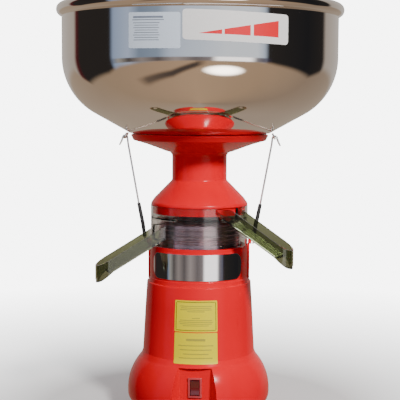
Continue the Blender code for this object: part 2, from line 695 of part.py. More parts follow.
# --- latches -------------------------------------------------------------------------------
def latch(name, side):
    """Hooked wire that hangs from an eyelet under the bowl, with a rubber grip near its foot."""
    px, pz = LATCH_PIVOT
    hook_r = WIRE_D + 0.45
    turn = Matrix.Identity(4) if side > 0 else about_z(math.pi)
    hook = [(px + hook_r * math.cos(a), pz + hook_r * math.sin(a))
            for a in (math.radians(180 * i / 6) for i in range(7))]
    grip = [(78.2, 268.0), (72.6, 240.0), (70.2, 222.0)]
    line = [(px + 7.2, pz - 9.5)] + hook + [(91.7, 343.0), grip[0], grip[1], grip[2]]
    line += [(69.1, 215.5)]
    moved(wire(f"latch_wire_{name}", [(x, 0, z) for x, z in line], WIRE_D, STEEL), turn)
    ends = [(78.0, 0, 266.8), (72.6, 0, 240.0), (70.3, 0, 223.5)]
    sleeve = wire(f"latch_grip_{name}", ends, 5.2, RUBBER, 2)
    core = [(79.0, 0, 271.8), (72.6, 0, 240.0), (70.2, 0, 222.0), (69.4, 0, 217.5)]
    sleeve = cut(sleeve, wire("core", core, WIRE_D + 0.7, RUBBER, 2, CUTTERS))
    moved(sleeve, turn)
    leg = 7.0
    eyelet = [(px - 3.0, -leg, 356.9), (px, -leg, pz), (px, leg, pz), (px - 3.0, leg, 356.9)]
    moved(wire(f"latch_eyelet_{name}", eyelet, WIRE_D, STEEL), turn)


def main():
    motor_housing()
    base_plate()
    feet()
    switch()
    cable_gland()
    badge_plate()
    motor_brackets()
    stator()
    armature()
    bearings()
    shaft_seal()
    rotor_shaft()
    cooling_fan()
    rubber_mounts()
    drum()
    disc_stack()
    receivers()
    float_chamber()
    tap(milk_bowl())
    latch("right", 1)
    latch("left", -1)


main()
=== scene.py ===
"""Looks of the electric cream separator: fine round shells, clear receivers, labels and studio."""
import math

import bmesh
import bpy
from mathutils import Matrix, Vector


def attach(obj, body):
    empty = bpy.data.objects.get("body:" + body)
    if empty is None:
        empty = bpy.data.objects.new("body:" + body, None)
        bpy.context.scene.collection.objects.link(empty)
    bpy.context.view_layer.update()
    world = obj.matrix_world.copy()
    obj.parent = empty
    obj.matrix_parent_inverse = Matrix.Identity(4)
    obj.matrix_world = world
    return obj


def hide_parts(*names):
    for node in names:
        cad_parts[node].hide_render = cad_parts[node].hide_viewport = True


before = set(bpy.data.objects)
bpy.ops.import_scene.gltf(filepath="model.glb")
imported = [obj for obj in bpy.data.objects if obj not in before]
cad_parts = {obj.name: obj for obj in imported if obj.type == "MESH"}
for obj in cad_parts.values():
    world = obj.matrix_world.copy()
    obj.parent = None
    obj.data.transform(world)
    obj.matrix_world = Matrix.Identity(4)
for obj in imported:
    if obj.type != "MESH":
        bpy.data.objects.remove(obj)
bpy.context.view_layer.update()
MM = 0.001

# --- sizes that follow the CAD nodes, mm ----------------------------------------------------
SEG = 128
SEG_FINE = 64
FOOT_H = 8.0
HOUSING_TOP = 215.0
WALL = 2.6
COLLAR_R = 63.2
DECK_Z = 170.0
FLARE = (25.5, 28.0, 65.8)
FOOT_ARC = (75.3, 24.0, 16.0)
RING_R = 62.0
RING_WALL = 2.2
SKIM_TOP = 248.7
CREAM_TOP = 265.3
NECK_R = 34.9
FLANGE_R = 87.5
FLANGE_TOP = 355.9
BOWL_R = 173.7
BOWL_WALL = 1.2
PANEL_Y = -71.5
SWITCH_Z = 45.0
SKIM_SLOPE, CREAM_SLOPE = 0.56, 0.62
SKIM_TURN, CREAM_TURN = math.radians(23.1), math.radians(22.5)
SPOUT_W = 30.0
SPOUT_WALL = 2.0
LIP_DROP = 4.0
DRUM_R = 53.0
DRUM_SEAM = 226.0
LATCH_PIVOT = (95.5, 350.5)
WIRE_D = 2.5


# --- material nodes ---------------------------------------------------------------------------
class Nodes:
    """A small helper round one material's node tree."""

    def __init__(self, name, color, roughness, metallic=0.0, **more):
        self.mat = bpy.data.materials.new(name)
        self.mat.use_nodes = True
        self.tree = self.mat.node_tree
        self.shader = self.tree.nodes["Principled BSDF"]
        self.set("Base Color", (*color, 1.0))
        self.set("Roughness", roughness)
        self.set("Metallic", metallic)
        for socket, value in more.items():
            self.set(socket.replace("_", " "), value)

    def set(self, socket, value):
        self.shader.inputs[socket].default_value = value

    def add(self, kind, inputs=None, **fields):
        node = self.tree.nodes.new(kind)
        for key, value in fields.items():
            setattr(node, key, value)
        for socket, value in (inputs or {}).items():
            if isinstance(value, bpy.types.NodeSocket):
                self.tree.links.new(value, node.inputs[socket])
            else:
                node.inputs[socket].default_value = value
        return node

    def place(self, scale=(1, 1, 1)):
        """Object coordinates, which are the frame's own metres, stretched by scale."""
        coords = self.add("ShaderNodeTexCoord").outputs["Object"]
        return self.add("ShaderNodeMapping", {"Vector": coords, "Scale": scale}).outputs["Vector"]

    def polar(self):
        """(angle round Z, 0, height): for brushing and turning marks that run round the piece."""
        coords = self.add("ShaderNodeTexCoord").outputs["Object"]
        xyz = self.add("ShaderNodeSeparateXYZ", {"Vector": coords}).outputs
        angle = self.add("ShaderNodeMath", {0: xyz["Y"], 1: xyz["X"]}, operation="ARCTAN2").outputs[0]
        return angle, xyz["Z"], xyz

    def noise(self, vector, scale, detail=3.0, roughness=0.5):
        made = self.add("ShaderNodeTexNoise", {"Vector": vector, "Scale": scale, "Detail": detail,
                                               "Roughness": roughness})
        return made.outputs["Fac"]

    def ramp(self, value, low, high, out_low, out_high):
        made = self.add("ShaderNodeMapRange", {"Value": value, "From Min": low, "From Max": high,
                                               "To Min": out_low, "To Max": out_high})
        return made.outputs["Result"]

    def colors(self, value, stops):
        made = self.add("ShaderNodeValToRGB", {"Fac": value})
        ramp = made.color_ramp
        while len(ramp.elements) < len(stops):
            ramp.elements.new(0.5)
        for element, (position, color) in zip(ramp.elements, stops):
            element.position = position
            element.color = (*color, 1.0)
        return made.outputs["Color"]

    def link(self, output, socket):
        self.tree.links.new(output, self.shader.inputs[socket])

    def bump(self, height, strength, distance):
        made = self.add("ShaderNodeBump", {"Height": height, "Strength": strength,
                                           "Distance": distance})
        self.link(made.outputs["Normal"], "Normal")


def plastic(name, color, roughness, spread=0.06, grain=900.0, bump=0.12, **more):
    """Moulded plastic: faint flow marks in the colour, uneven gloss and a fine skin texture."""
    m = Nodes(name, color, roughness, **more)
    flow = m.noise(m.place((1, 1, 0.35)), 18.0, 4.0)
    dark = tuple(c * (1 - spread) for c in color)
    light = tuple(min(1.0, c * (1 + spread) + 0.004) for c in color)
    m.link(m.colors(flow, [(0.3, dark), (0.7, light)]), "Base Color")
    wear = m.noise(m.place(), 55.0, 5.0, 0.6)
    m.link(m.ramp(wear, 0.3, 0.75, roughness * 0.8, roughness * 1.35), "Roughness")
    m.bump(m.noise(m.place(), grain, 2.0), bump, 0.00012)
    return m.mat


def metal(name, color, roughness, lines, line_bump=0.15, streak=0.5, **more):
    """Turned or spun metal: fine lines that run round Z, and soft streaks in the gloss."""
    m = Nodes(name, color, roughness, 1.0, **more)
    angle, height, xyz = m.polar()
    radius = m.add("ShaderNodeMath", {0: xyz["X"], 1: xyz["X"]}, operation="MULTIPLY").outputs[0]
    other = m.add("ShaderNodeMath", {0: xyz["Y"], 1: xyz["Y"]}, operation="MULTIPLY").outputs[0]
    radius = m.add("ShaderNodeMath", {0: radius, 1: other}, operation="ADD").outputs[0]
    radius = m.add("ShaderNodeMath", {0: radius}, operation="SQRT").outputs[0]
    across = m.add("ShaderNodeCombineXYZ", {"X": angle, "Y": radius, "Z": height}).outputs[0]
    fine = m.add("ShaderNodeMapping", {"Vector": across, "Scale": (streak, lines, lines)}).outputs[0]
    marks = m.noise(fine, 1.0, 3.0, 0.7)
    m.link(m.ramp(marks, 0.25, 0.75, roughness * 0.65, roughness * 1.5), "Roughness")
    smear = m.noise(m.place((1, 1, 0.6)), 9.0, 3.0)
    dark = tuple(c * 0.9 for c in color)
    m.link(m.colors(smear, [(0.3, dark), (0.7, color)]), "Base Color")
    m.bump(marks, line_bump, 0.00006)
    m.link(m.add("ShaderNodeTangent", direction_type="RADIAL", axis="Z").outputs[0], "Tangent")
    return m.mat


def label_paper(name, color, roughness=0.35):
    m = Nodes(name, color, roughness, Coat_Weight=0.1, Coat_Roughness=0.12, Specular_IOR_Level=0.3)
    fibre = m.noise(m.place(), 700.0, 4.0)
    m.link(m.colors(fibre, [(0.25, tuple(c * 0.93 for c in color)), (0.75, color)]), "Base Color")
    m.bump(fibre, 0.08, 0.00005)
    return m.mat


def clear_plastic(name, color, spout_tint_and_shade):
    """Clear moulding with faint flow lines, scuffs and haze; towards the spouts it turns dark olive, partly
    the plastic's own green tint and partly painted shade for the dark surroundings seen through them.
    """
    m = Nodes(name, color, 0.05, IOR=1.46, Transmission_Weight=1.0)
    scuff = m.noise(m.place((1, 1, 2.2)), 60.0, 5.0, 0.65)
    m.link(m.ramp(scuff, 0.5, 0.85, 0.03, 0.09), "Roughness")
    flow = m.noise(m.place((1, 1, 0.5)), 25.0, 3.0)
    clear = m.colors(flow, [(0.3, tuple(c * 0.94 for c in color)), (0.7, color)])
    # spout colour: partly the plastic's own green, partly painted shade standing in for the dark
    # surroundings seen through the spouts
    tinted = m.colors(flow, [(0.3, tuple(c * 0.88 for c in spout_tint_and_shade)), (0.7, spout_tint_and_shade)])
    coords = m.add("ShaderNodeTexCoord").outputs["Object"]
    flat = m.add("ShaderNodeVectorMath", {0: coords, 1: (1, 1, 0)}, operation="MULTIPLY").outputs[0]
    reach = m.add("ShaderNodeVectorMath", {0: flat}, operation="LENGTH").outputs["Value"]
    share = m.ramp(reach, 0.0615, 0.070, 0.0, 1.0)
    tint = m.add("ShaderNodeMix", {0: share, 6: clear, 7: tinted}, data_type="RGBA").outputs[2]
    m.link(tint, "Base Color")
    m.bump(m.noise(m.place((1, 1, 3)), 28.0, 1.0), 0.05, 0.0002)
    return m.mat


def rubber(name, color):
    m = Nodes(name, color, 0.62)
    dust = m.noise(m.place(), 320.0, 6.0, 0.7)
    m.link(m.colors(dust, [(0.35, color), (0.85, tuple(c + 0.045 for c in color))]), "Base Color")
    m.link(m.ramp(dust, 0.2, 0.8, 0.5, 0.8), "Roughness")
    m.bump(dust, 0.3, 0.00012)
    return m.mat


def copper():
    m = Nodes("wound_copper", (0.62, 0.22, 0.07), 0.3, 1.0)
    turns = m.add("ShaderNodeTexWave", {"Vector": m.place((0.4, 0.4, 1)), "Scale": 900.0,
                                        "Distortion": 1.5}, bands_direction="Z")
    m.link(m.colors(turns.outputs["Color"], [(0, (0.3, 0.08, 0.02)), (1, (0.72, 0.3, 0.1))]),
           "Base Color")
    m.bump(turns.outputs["Fac"], 0.5, 0.0003)
    return m.mat


def laminations():
    m = Nodes("laminated_iron", (0.2, 0.2, 0.21), 0.45, 1.0)
    sheets = m.add("ShaderNodeTexWave", {"Vector": m.place(), "Scale": 320.0}, bands_direction="Z")
    m.link(m.colors(sheets.outputs["Color"], [(0, (0.08, 0.08, 0.085)), (1, (0.34, 0.34, 0.35))]),
           "Base Color")
    m.bump(sheets.outputs["Fac"], 0.4, 0.0002)
    return m.mat


RED = plastic("red_moulding", (0.88, 0.0005, 0.012), 0.2, 0.05, 1400.0, 0.07, Specular_IOR_Level=0.17)
BOWL_STEEL = metal("spun_stainless", (0.80, 0.77, 0.74), 0.055, 5200.0, 0.05, 0.35)
STEEL = metal("bright_steel", (0.66, 0.65, 0.64), 0.16, 2600.0, 0.2)
WIRE_STEEL = metal("drawn_wire", (0.80, 0.79, 0.77), 0.3, 1500.0, 0.2, 3.0)
# the drum's dark pinkish base colour is a painted reflection of the red housing round it, not the metal's
# own colour
DRUM_METAL = metal("turned_aluminium", (0.50, 0.34, 0.39), 0.24, 3300.0, 0.5, 0.6, Anisotropic=0.85,
                   Anisotropic_Rotation=0.25)
CHROME = metal("chrome_badge", (0.80, 0.79, 0.79), 0.07, 1800.0, 0.06, 2.0)
CAST = plastic("cast_aluminium", (0.42, 0.42, 0.43), 0.45, 0.12, 600.0, 0.35, Metallic=1.0)
CLEAR = clear_plastic("clear_moulding", (0.95, 0.94, 0.92), (0.31, 0.35, 0.21))
RUBBER = rubber("black_rubber", (0.018, 0.018, 0.019))
BLACK = plastic("black_moulding", (0.022, 0.022, 0.024), 0.42, 0.2, 700.0, 0.3)
WHITE = plastic("white_moulding", (0.80, 0.80, 0.77), 0.33, 0.04, 900.0, 0.15,
                Subsurface_Weight=0.08, Subsurface_Radius=(0.004, 0.003, 0.002))
BEZEL = plastic("switch_bezel", (0.52, 0.05, 0.06), 0.3, 0.08, 1200.0, 0.12)
ROCKER = plastic("switch_rocker_red", (0.16, 0.004, 0.008), 0.14, 0.15, 1500.0, 0.05,
                 Transmission_Weight=0.15, Coat_Weight=0.6, Coat_Roughness=0.05)
YELLOW = label_paper("yellow_label", (0.95, 0.80, 0.003))
INK = label_paper("label_ink", (0.035, 0.03, 0.02))
FADED = label_paper("label_rule", (0.50, 0.43, 0.06))
PALE = label_paper("pale_label", (0.70, 0.78, 0.90))
PALE_RULE = label_paper("pale_rule", (0.22, 0.25, 0.32))
LABEL_WHITE = label_paper("white_label", (0.90, 0.88, 0.87))
LABEL_RED = label_paper("red_ink", (0.80, 0.02, 0.03))
COPPER = copper()
IRON = laminations()
CARBON = rubber("carbon", (0.03, 0.03, 0.03))


# --- shapes -----------------------------------------------------------------------------------
def arc(cx, cz, radius, start, end, steps):
    angles = [math.radians(start + (end - start) * i / steps) for i in range(steps + 1)]
    return [(cx + radius * math.cos(a), cz + radius * math.sin(a)) for a in angles]


def rounded(line, radius, steps=3, closed=True):
    """The line with each corner sharper than about 20 degrees cut to a small fillet."""
    made = []
    count = len(line)
    for i, point in enumerate(line):
        if not closed and i in (0, count - 1):
            made.append(point)
            continue
        here = Vector(point)
        back, ahead = Vector(line[i - 1]) - here, Vector(line[(i + 1) % count]) - here
        if min(back.length, ahead.length) < 1e-6:
            continue
        bend = math.pi - back.angle(ahead)
        if bend < math.radians(20):
            made.append(point)
            continue
        reach = min(radius * math.tan(bend / 2), 0.42 * back.length, 0.42 * ahead.length)
        first, last = here + back.normalized() * reach, here + ahead.normalized() * reach
        for k in range(steps + 1):
            t = k / steps
            made.append(tuple((1 - t) ** 2 * first + 2 * t * (1 - t) * here + t * t * last))
    return made


def finish_mesh(bm, name, mat, keep=True):
    bmesh.ops.remove_doubles(bm, verts=bm.verts, dist=1e-7)
    bmesh.ops.recalc_face_normals(bm, faces=bm.faces)
    mesh = bpy.data.meshes.new(name)
    bm.to_mesh(mesh)
    bm.free()
    mesh.materials.append(mat)
    mesh.shade_smooth()
    mesh.set_sharp_from_angle(angle=math.radians(32))
    obj = bpy.data.objects.new(name, mesh)
    if keep:
        bpy.context.scene.collection.objects.link(obj)
    return obj


def turned(name, line, mat, segments=SEG, closed=True, fillet=0.0, keep=True):
    """A turned piece from (radius, z) points; an open line starts and ends on the axis."""
    if fillet:
        line = rounded(line, fillet, 3, closed)
    bm = bmesh.new()
    rings = []
    for r, z in line:
        if r < 1e-6:
            rings.append([bm.verts.new((0, 0, z * MM))])
            continue
        spin = [math.tau * i / segments for i in range(segments)]
        rings.append([bm.verts.new((r * MM * math.cos(a), r * MM * math.sin(a), z * MM)) for a in spin])
    pairs = list(zip(rings, rings[1:]))
    if closed:
        pairs.append((rings[-1], rings[0]))
    for low, high in pairs:
        for i in range(segments):
            j = (i + 1) % segments
            corners = [low[i % len(low)], low[j % len(low)], high[j % len(high)], high[i % len(high)]]
            unique = list(dict.fromkeys(corners))
            if len(unique) > 2:
                bm.faces.new(unique)
    return finish_mesh(bm, name, mat, keep)


def prism(name, outline, z0, z1, mat, keep=True, lift=None):
    """An outline in X and Y made solid between z0 and z1; lift(x, y) adds to z at each point."""
    bm = bmesh.new()
    rings = []
    for z in (z0, z1):
        ring = []
        for x, y in outline:
            extra = lift(x, y) if lift else 0.0
            ring.append(bm.verts.new((x * MM, y * MM, (z + extra) * MM)))
        rings.append(ring)
    bm.faces.new(rings[0][::-1])
    bm.faces.new(rings[1])
    for i in range(len(outline)):
        j = (i + 1) % len(outline)
        bm.faces.new([rings[0][i], rings[0][j], rings[1][j], rings[1][i]])
    bmesh.ops.triangulate(bm, faces=[f for f in bm.faces if len(f.verts) > 4])
    return finish_mesh(bm, name, mat, keep)


def box(name, low, high, mat, keep=True, bevel=0.0, segments=3):
    bm = bmesh.new()
    bmesh.ops.create_cube(bm, size=1.0)
    size = [(high[i] - low[i]) * MM for i in range(3)]
    centre = Vector([(high[i] + low[i]) / 2 for i in range(3)]) * MM
    bm.transform(Matrix.Translation(centre) @ Matrix.Diagonal((*size, 1.0)))
    if bevel:
        bmesh.ops.bevel(bm, geom=bm.edges[:], offset=bevel * MM, segments=segments, profile=0.5,
                        affect="EDGES")
    return finish_mesh(bm, name, mat, keep)


def bezier_through(points, per_span=8):
    """A smooth Catmull-Rom line through the points."""
    pts = [Vector(p) for p in points]
    pts = [pts[0] * 2 - pts[1]] + pts + [pts[-1] * 2 - pts[-2]]
    made = []
    for a, b, c, d in zip(pts, pts[1:], pts[2:], pts[3:]):
        for k in range(per_span):
            t = k / per_span
            made.append(0.5 * (2 * b + (c - a) * t + (2 * a - 5 * b + 4 * c - d) * t * t
                               + (3 * b - a - 3 * c + d) * t ** 3))
    return made + [pts[-2]]


def wire(name, points, diameter, mat, sides=16, smooth=True, taper=0.25):
    """A round bar along a line of points in mm, with its ends rounded over."""
    path = bezier_through(points) if smooth else [Vector(p) for p in points]
    bm = bmesh.new()
    rings = []
    normal = Vector((0, 1, 0))
    for i, p in enumerate(path):
        ahead = path[min(i + 1, len(path) - 1)] - path[max(i - 1, 0)]
        along = ahead.normalized()
        side = normal.cross(along)
        side = side.normalized() if side.length > 1e-6 else Vector((1, 0, 0))
        up = along.cross(side)
        radius = diameter / 2 * (1 - taper if i in (0, len(path) - 1) else 1)
        ring = []
        for k in range(sides):
            a = math.tau * k / sides
            ring.append(bm.verts.new((p + radius * (side * math.cos(a) + up * math.sin(a))) * MM))
        rings.append(ring)
    for low, high in zip(rings, rings[1:]):
        for k in range(sides):
            j = (k + 1) % sides
            bm.faces.new([low[k], low[j], high[j], high[k]])
    bm.faces.new(rings[0][::-1])
    bm.faces.new(rings[-1])
    return finish_mesh(bm, name, mat)


def boolean(obj, operation, *others):
    """obj joined with, cut by or limited to each of the others, which are used up."""
    for other in others:
        for o in (obj, other):
            if o.name not in bpy.context.scene.collection.objects:
                bpy.context.scene.collection.objects.link(o)
        step = obj.modifiers.new("step", "BOOLEAN")
        step.operation = operation
        step.object = other
        step.solver = "EXACT"
        bpy.context.view_layer.update()
        graph = bpy.context.evaluated_depsgraph_get()
        mesh = bpy.data.meshes.new_from_object(obj.evaluated_get(graph))
        obj.modifiers.remove(step)
        old = obj.data
        obj.data = mesh
        bpy.data.meshes.remove(old)
        bpy.data.objects.remove(other)
    obj.data.shade_smooth()
    obj.data.set_sharp_from_angle(angle=math.radians(32))
    return obj


def soften(obj, width, segments=2, angle=40):
    """Small bevels on the sharp edges, and normals that follow the flat faces."""
    bevel = obj.modifiers.new("bevel", "BEVEL")
    bevel.width = width * MM
    bevel.segments = segments
    bevel.limit_method = "ANGLE"
    bevel.angle_limit = math.radians(angle)
    bevel.harden_normals = True
    return obj


def moved(obj, matrix):
    obj.data.transform(matrix)
    return obj


def about_z(angle):
    return Matrix.Rotation(angle, 4, "Z")


def put(obj, body, slot, *nodes):
    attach(obj, body)
    if nodes:
        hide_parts(*nodes)
    return obj


# --- housing ------------------------------------------------------------------------------------
def housing_outside():
    line = [(62.0, HOUSING_TOP), (COLLAR_R, HOUSING_TOP), (COLLAR_R, 175.4)]
    line += arc(COLLAR_R + 1.6, 175.0, 1.6, 180, 250, 3)
    line += arc(65.0, 166.8, 1.8, 90, 10, 5) + [(68.6, 138), (71.75, 78.6)]
    line += arc(73.8, 78.4, 2.0, 180, 225, 4)
    line += arc(*FLARE, 42, 0, 22) + arc(*FOOT_ARC, 0, -90, 12)
    return line


def housing_inside():
    well_r = COLLAR_R - WALL
    line = [(73.0, FOOT_H), (73.0, 11.0)] + arc(FOOT_ARC[0], FOOT_ARC[1], FOOT_ARC[2] - WALL, -90, 0, 5)
    line += arc(FLARE[0], FLARE[1], FLARE[2] - WALL, 0, 39, 8)
    line += [(69.2, 76), (66.0, 138), (64.0, 165), (well_r, DECK_Z), (16, DECK_Z)]
    return line + [(16, DECK_Z + 3), (well_r, DECK_Z + 3), (well_r, HOUSING_TOP)]


def side_pad(side):
    pad = box("pad", (60.9, -8, 171), (64.8, 8, HOUSING_TOP - 0.4), RED, False, 0.6)
    tab = box("tab", (RING_R + 0.6, -7, 213), (64.8, 7, 222), RED, False, 0.5)
    ledge = box("ledge", (RING_R + 0.8, -5, 216), (67.2, 5, 221.4), RED, False, 0.5)
    pad = boolean(pad, "UNION", tab, ledge)
    return pad if side > 0 else moved(pad, about_z(math.pi))


def housing():
    """The red shell: turned flare and collar, splayed switch recess, gland hole and side ledges."""
    shell = turned("housing_shell", housing_outside() + housing_inside(), RED, SEG)
    outer = turned("outer", [(0, HOUSING_TOP)] + housing_outside() + [(0, FOOT_H)], RED, SEG, False)
    half_in, half_out, thick = 19.2, 34.0, 2.6
    block = box("block", (-half_out - WALL, -95, 5), (half_out + WALL, PANEL_Y + thick, 72), RED)
    block = boolean(block, "INTERSECT", outer)
    shell = boolean(shell, "UNION", block, side_pad(1), side_pad(-1))
    outline = [(-half_out, -99), (half_out, -99)]
    outline += arc(half_in - 0.6, PANEL_Y - 1.5, 1.5, 28, 90, 4)
    outline += arc(0.6 - half_in, PANEL_Y - 1.5, 1.5, 90, 152, 4)
    recess = prism("recess", outline, 0, 70, RED)
    hole = box("hole", (-7.2, -80, SWITCH_Z - 11.2), (7.2, -60, SWITCH_Z + 11.2), RED)
    gland = turned("gland_hole", [(0, -15), (4.6, -15), (4.6, 15), (0, 15)], RED, 32, False)
    moved(gland, Matrix.Translation((0, 88 * MM, 30 * MM)) @ Matrix.Rotation(math.pi / 2, 4, "X"))
    shell = boolean(shell, "DIFFERENCE", recess, hole, gland)
    put(soften(shell, 0.5, 3, 38), "housing", "red_plastic", "motor_housing")


def base():
    plate = turned("floor_plate", [(0, 8.0), (72.2, 8.0), (72.6, 8.4), (72.6, 10.1), (72.2, 10.5),
                                   (0, 10.5)], BLACK, SEG, False)
    for i in range(8):
        slot = box("slot", (18, -2, 0), (40, 2, 20), BLACK)
        plate = boolean(plate, "DIFFERENCE", moved(slot, about_z(math.tau * i / 8)))
    front = box("front", (-60, -80, 0), (60, PANEL_Y + 2.9, 20), BLACK)
    put(boolean(plate, "DIFFERENCE", front), "housing", "black_plastic", "base_plate")
    for i in range(4):
        angle = math.radians(45 + 90 * i)
        top = FOOT_H - 0.3
        line = [(0, 1.6), (3.0, 1.6), (3.0, 0), (8.0, 0)] + arc(8.0, 1.5, 1.5, -80, 0, 4)
        line += [(10.0, 4.6), (9.6, 5.0), (10.3, 5.5), (10.5, top), (0, top)]
        foot = turned(f"rubber_foot_{i + 1}", line, RUBBER, 48, False)
        moved(foot, Matrix.Translation(Vector((58 * math.cos(angle), 58 * math.sin(angle), 0)) * MM))
        put(foot, "housing", "rubber", f"foot_{i + 1}")


def switch():
    """Rocker switch: a framed body with a pocket, and the see-saw button on its pivot."""
    bezel = box("switch_bezel", (-8.7, PANEL_Y - 2.0, SWITCH_Z - 12.7),
                (8.7, PANEL_Y - 0.3, SWITCH_Z + 12.7), BEZEL, True, 0.75, 4)
    body = box("body", (-6.9, PANEL_Y - 1.0, SWITCH_Z - 10.9), (6.9, PANEL_Y + 14, SWITCH_Z + 10.9), BEZEL)
    pocket = box("pocket", (-6.0, PANEL_Y - 9, SWITCH_Z - 10.2), (6.0, PANEL_Y + 6.5, SWITCH_Z + 10.2),
                 BEZEL)
    bezel = boolean(boolean(bezel, "UNION", body), "DIFFERENCE", pocket)
    put(soften(bezel, 0.25, 2), "housing", "dark_red_plastic", "switch_frame")
    side = [(-4.6, 9.0), (-3.6, 6.6), (-2.6, 4.2), (-1.9, 2.0), (-1.5, 0.4), (-1.45, -1.4), (-1.6, -3.6),
            (-1.9, -6.2), (-2.2, -9.0), (1.0, -8.4), (3.2, -4.4), (4.2, 0.0), (3.2, 4.4), (0.8, 8.4)]
    button = prism("switch_button", [(-z, y) for y, z in side], -5.6, 5.6, ROCKER)
    turn = Matrix.Rotation(math.pi / 2, 4, "Y")
    moved(button, Matrix.Translation((0, (PANEL_Y + 1.0) * MM, SWITCH_Z * MM)) @ turn)
    put(soften(button, 0.45, 3, 35), "rocker", "dark_red_plastic", "switch_rocker")


def gland():
    line = [(2.6, 0), (4.2, 0), (4.2, 6.0), (8.0, 6.0), (8.0, 8.6), (7.6, 9.0), (6.6, 9.0)]
    line += [(6.2, 10.2), (6.5, 10.8), (5.9, 11.6), (6.0, 12.4), (5.5, 14.0), (2.6, 14.0)]
    piece = turned("cable_entry", line, BLACK, 48)
    turn = Matrix.Rotation(-math.pi / 2, 4, "X")
    moved(piece, Matrix.Translation((0, 85.6 * MM, 30 * MM)) @ turn)
    put(piece, "housing", "black_plastic", "cable_gland")


# --- things wrapped round a turned surface ------------------------------------------------------
def wrap(name, outline, radius_at, centre, z_centre, out, thick, mat, body, slot, tilt=0.0, node=None):
    """A thin piece cut to outline (arc length, height; mm) and wrapped round the Z axis.
    radius_at(z) is the surface, centre the angle from -Y towards +X in degrees."""
    bm = bmesh.new()
    verts = [bm.verts.new((x, y, 0)) for x, y in outline]
    bm.faces.new(verts)
    xs, ys = [p[0] for p in outline], [p[1] for p in outline]
    for low, high, axis, pitch in ((min(xs), max(xs), 0, 3.0), (min(ys), max(ys), 1, 4.0)):
        count = max(1, int((high - low) / pitch))
        for i in range(1, count):
            at, normal = [0, 0, 0], [0, 0, 0]
            at[axis] = low + (high - low) * i / count
            normal[axis] = 1
            geom = bm.verts[:] + bm.edges[:] + bm.faces[:]
            bmesh.ops.bisect_plane(bm, geom=geom, plane_co=at, plane_no=normal)
    made = bmesh.ops.extrude_face_region(bm, geom=bm.faces[:])
    for v in [g for g in made["geom"] if isinstance(g, bmesh.types.BMVert)]:
        v.co.z = thick
    turn = math.tan(math.radians(tilt))
    for v in bm.verts:
        s, h, depth = v.co.x, v.co.y + v.co.x * turn, v.co.z
        z = z_centre + h
        r = radius_at(z) + out + depth
        angle = math.radians(centre - 90) + s / radius_at(z_centre)
        v.co = Vector((r * math.cos(angle), r * math.sin(angle), z)) * MM
    piece = finish_mesh(bm, name, mat)
    put(piece, body, slot, *([node] if node else []))
    return piece


def round_rect(half_w, half_h, radius, steps=6, cx=0.0, cy=0.0):
    line = []
    for sx, sy, start in ((1, 1, 0), (-1, 1, 90), (-1, -1, 180), (1, -1, 270)):
        across, along = cx + sx * (half_w - radius), cy + sy * (half_h - radius)
        line += arc(across, along, radius, start, start + 90, steps)
    return line


def housing_radius(z):
    line = housing_outside()
    for (r0, z0), (r1, z1) in zip(line, line[1:]):
        if z0 >= z >= z1 and z0 > z1:
            return r0 + (r1 - r0) * (z0 - z) / (z0 - z1)
    return COLLAR_R


def badge():
    """Bright name plate, left blank, with softened edges."""
    half_w = math.radians(59) * (COLLAR_R + 0.3)
    face = wrap("badge_face", round_rect(half_w, 16.3, 12.0), lambda z: COLLAR_R, 0, 192.6, 0.3, 0.6,
                CHROME, "housing", "chrome_plate", node="badge_plate")
    soften(face, 0.22, 2, 50)


def yellow_labels():
    """Two plain yellow stickers with faint rules, the upper one with a thin frame."""
    on, sl, mid = "housing", "dark_red_plastic", 0.6
    high, half_w, half_h = 133.6, 26.9, 19.4
    wrap("label_upper", round_rect(half_w, half_h, 1.4, 4), housing_radius, mid, high, 0.04, 0.12,
         YELLOW, on, sl)
    for side, name in ((1, "upper"), (-1, "lower")):
        edge = round_rect(half_w - 2.4, 0.35, 0.2, 2, 0, side * (half_h - 2.0))
        wrap(f"label_frame_{name}", edge, housing_radius, mid, high, 0.14, 0.05, INK, on, sl)
    for side, name in ((1, "right"), (-1, "left")):
        edge = round_rect(0.35, half_h - 2.4, 0.2, 2, side * (half_w - 2.0), 0)
        wrap(f"label_frame_{name}", edge, housing_radius, mid, high, 0.14, 0.05, INK, on, sl)
    rules = [(12.4, 20), (10.2, 19), (8.0, 20), (5.8, 11), (-2.2, 5), (-5.0, 20), (-7.2, 21), (-9.4, 20),
             (-11.6, 16)]
    for k, (y, half) in enumerate(rules):
        wrap(f"label_upper_rule_{k}", round_rect(half, 0.5, 0.3, 2, 0, y), housing_radius, mid, high, 0.14,
             0.04, FADED, on, sl)
    low = 93.9
    wrap("label_lower", round_rect(27.4, 19.2, 1.4, 4), housing_radius, mid, low, 0.04, 0.12,
         YELLOW, on, sl)
    rules = [(10.6, 12, 1.5), (3.4, 22, 0.6), (-1.8, 20, 0.6), (-7.0, 16, 0.6), (-12.0, 21, 0.6)]
    for k, (y, half, thick) in enumerate(rules):
        wrap(f"label_lower_rule_{k}", round_rect(half, thick, 0.3, 2, 0, y), housing_radius, mid, low, 0.14,
             0.04, FADED, on, sl)


